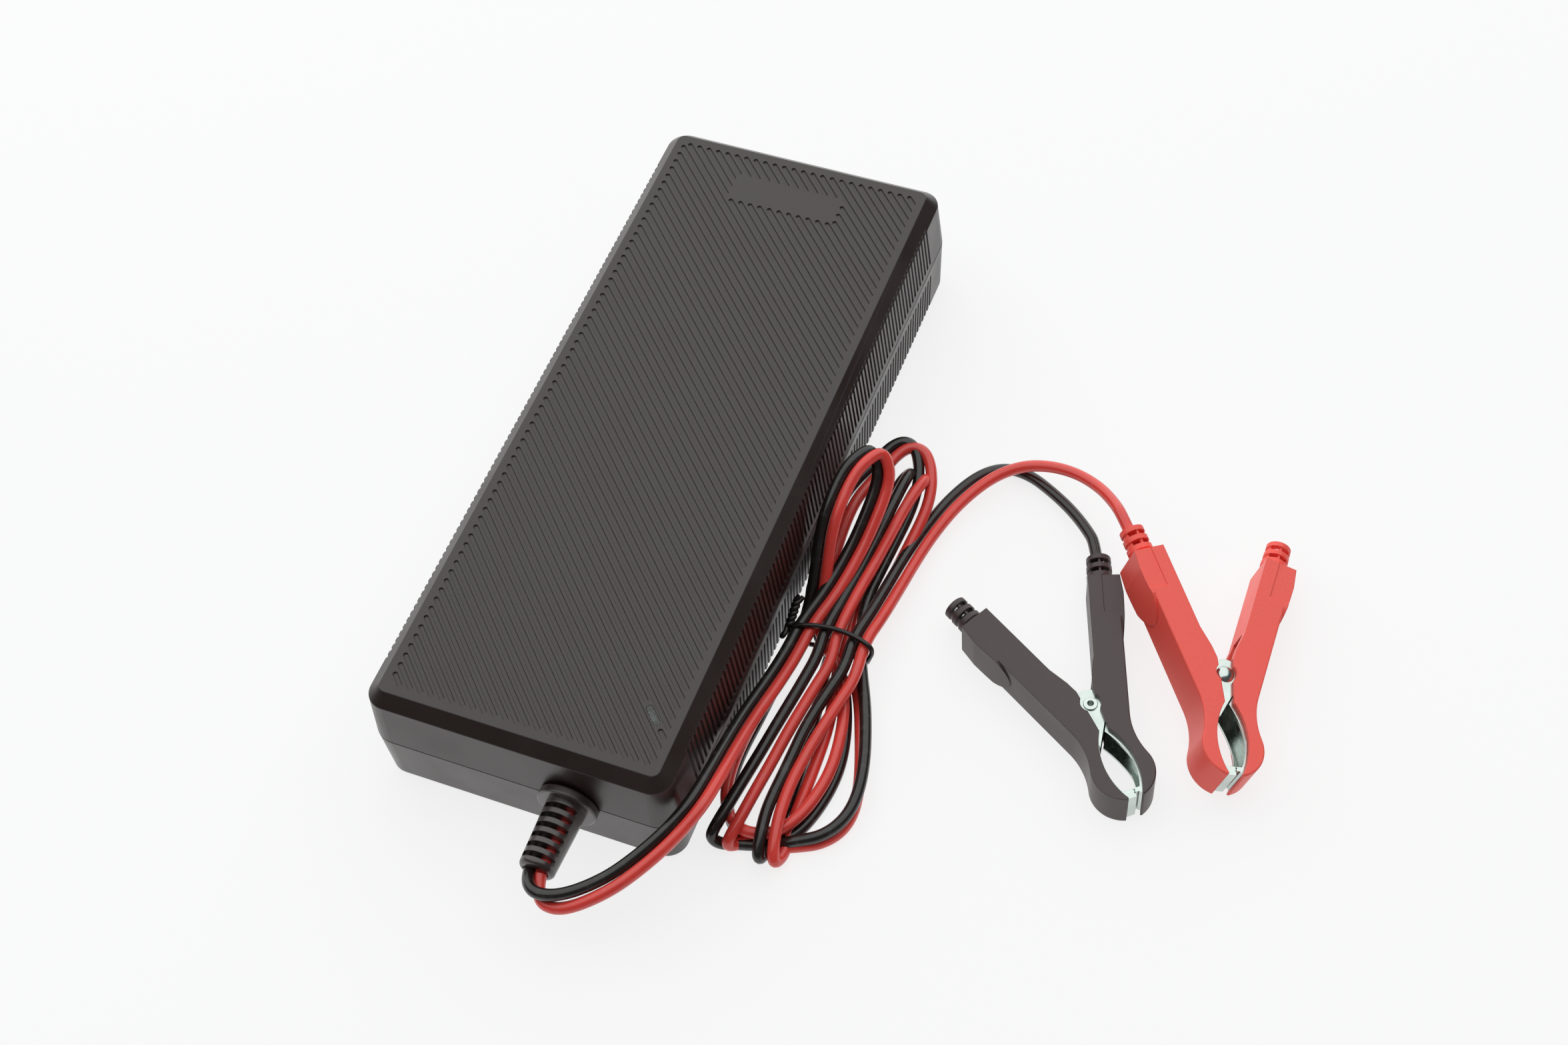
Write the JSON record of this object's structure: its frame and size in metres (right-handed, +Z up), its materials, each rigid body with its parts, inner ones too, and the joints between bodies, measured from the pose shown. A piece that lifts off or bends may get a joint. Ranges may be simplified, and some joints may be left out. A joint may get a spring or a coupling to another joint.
{
  "type": "car battery charger",
  "caption": "Desktop car battery charger: a long ribbed two-shell case with a mains inlet, and a tied twin output cord that ends in black and red spring clips.",
  "frame": {"origin": "on the floor under the middle of the case, between the rubber feet", "axes": "+X across the case towards the tied cord, +Y along the case towards the mains inlet, +Z up"},
  "size_m": [0.2143, 0.2352, 0.0373],
  "materials": {
    "case_plastic": "dark charcoal, finely textured",
    "foot_rubber": "matt",
    "boot_rubber": "matt",
    "screw_steel": "zinc plated",
    "clear_lens": "clear to white",
    "led_body": "diffused",
    "inlet_plastic": "black",
    "pin_metal": "nickel plated brass",
    "board_laminate": "green lacquer",
    "sheet_plastic": "milky film",
    "fuse_glass": "clear",
    "fuse_clip_metal": "nickel plated",
    "filter_case": "yellow",
    "ferrite": "grey sintered",
    "copper_wire": "enamelled copper",
    "power_epoxy": "black moulded",
    "capacitor_sleeve": "dark shrink sleeve",
    "sink_aluminium": "plain",
    "bobbin_plastic": "black",
    "winding_tape": "yellow tape",
    "black_sleeve": "satin black",
    "red_sleeve": "satin red",
    "clip_steel": "bright nickel plated steel",
    "spring_steel": "nickel plated",
    "rivet_metal": "nickel plated",
    "black_cord": "glossy PVC",
    "red_cord": "glossy PVC",
    "hank_cord": "glossy PVC, black and red",
    "tie_coating": "coated wire"
  },
  "bodies": {
    "charger": {"top_shell": "case_plastic", "bottom_shell": "case_plastic", "case_screws": "screw_steel", "rubber_feet": "foot_rubber", "led_light_pipe": "clear_lens", "status_led": "led_body", "cord_strain_relief": "boot_rubber", "mains_inlet": "inlet_plastic", "inlet_pins": "pin_metal", "circuit_board": "board_laminate", "board_screws": "screw_steel", "insulation_sheet": "sheet_plastic", "mains_fuse": "fuse_glass", "fuse_clips": "fuse_clip_metal", "mains_filter_capacitor": "filter_case", "choke_core": "ferrite", "choke_winding": "copper_wire", "bridge_rectifier": "power_epoxy", "bulk_capacitor": "capacitor_sleeve", "primary_heat_sink": "sink_aluminium", "switching_transistor": "power_epoxy", "transformer_core": "ferrite", "transformer_bobbin": "bobbin_plastic", "transformer_winding": "winding_tape", "output_heat_sink": "sink_aluminium", "output_rectifier": "power_epoxy", "output_capacitors": "capacitor_sleeve", "black_clip_fixed_arm": "clip_steel", "black_clip_fixed_cover": "black_sleeve", "black_clip_rivet": "rivet_metal", "black_clip_spring": "spring_steel", "red_clip_fixed_arm": "clip_steel", "red_clip_fixed_cover": "red_sleeve", "red_clip_rivet": "rivet_metal", "red_clip_spring": "spring_steel", "black_inner_lead": "black_cord", "black_lead_start": "black_cord", "black_lead_end": "black_cord", "red_inner_lead": "red_cord", "red_lead_start": "red_cord", "red_lead_end": "red_cord", "cord_hank": "hank_cord", "twist_tie": "tie_coating"},
    "black_clip_jaw": {"black_clip_moving_arm": "clip_steel", "black_clip_moving_cover": "black_sleeve"},
    "red_clip_jaw": {"red_clip_moving_arm": "clip_steel", "red_clip_moving_cover": "red_sleeve"}
  },
  "joints": [
    {"name": "black_clip_squeeze", "type": "hinge", "parent": "charger", "child": "black_clip_jaw", "pos_m": [0.1265, -0.0305, 0.006], "axis": [0, 0, -1], "range_deg": [0, 28], "stiffness_Nm_per_rad": 0.3, "springref_deg": -34.38, "deforming": ["black_clip_spring"]},
    {"name": "red_clip_squeeze", "type": "hinge", "parent": "charger", "child": "red_clip_jaw", "pos_m": [0.15525, -0.01345, 0.01005], "axis": [0.2659, 0.0513, 0.9626], "range_deg": [0, 28], "stiffness_Nm_per_rad": 0.3, "springref_deg": -34.38, "deforming": ["red_clip_spring"]}
  ]
}
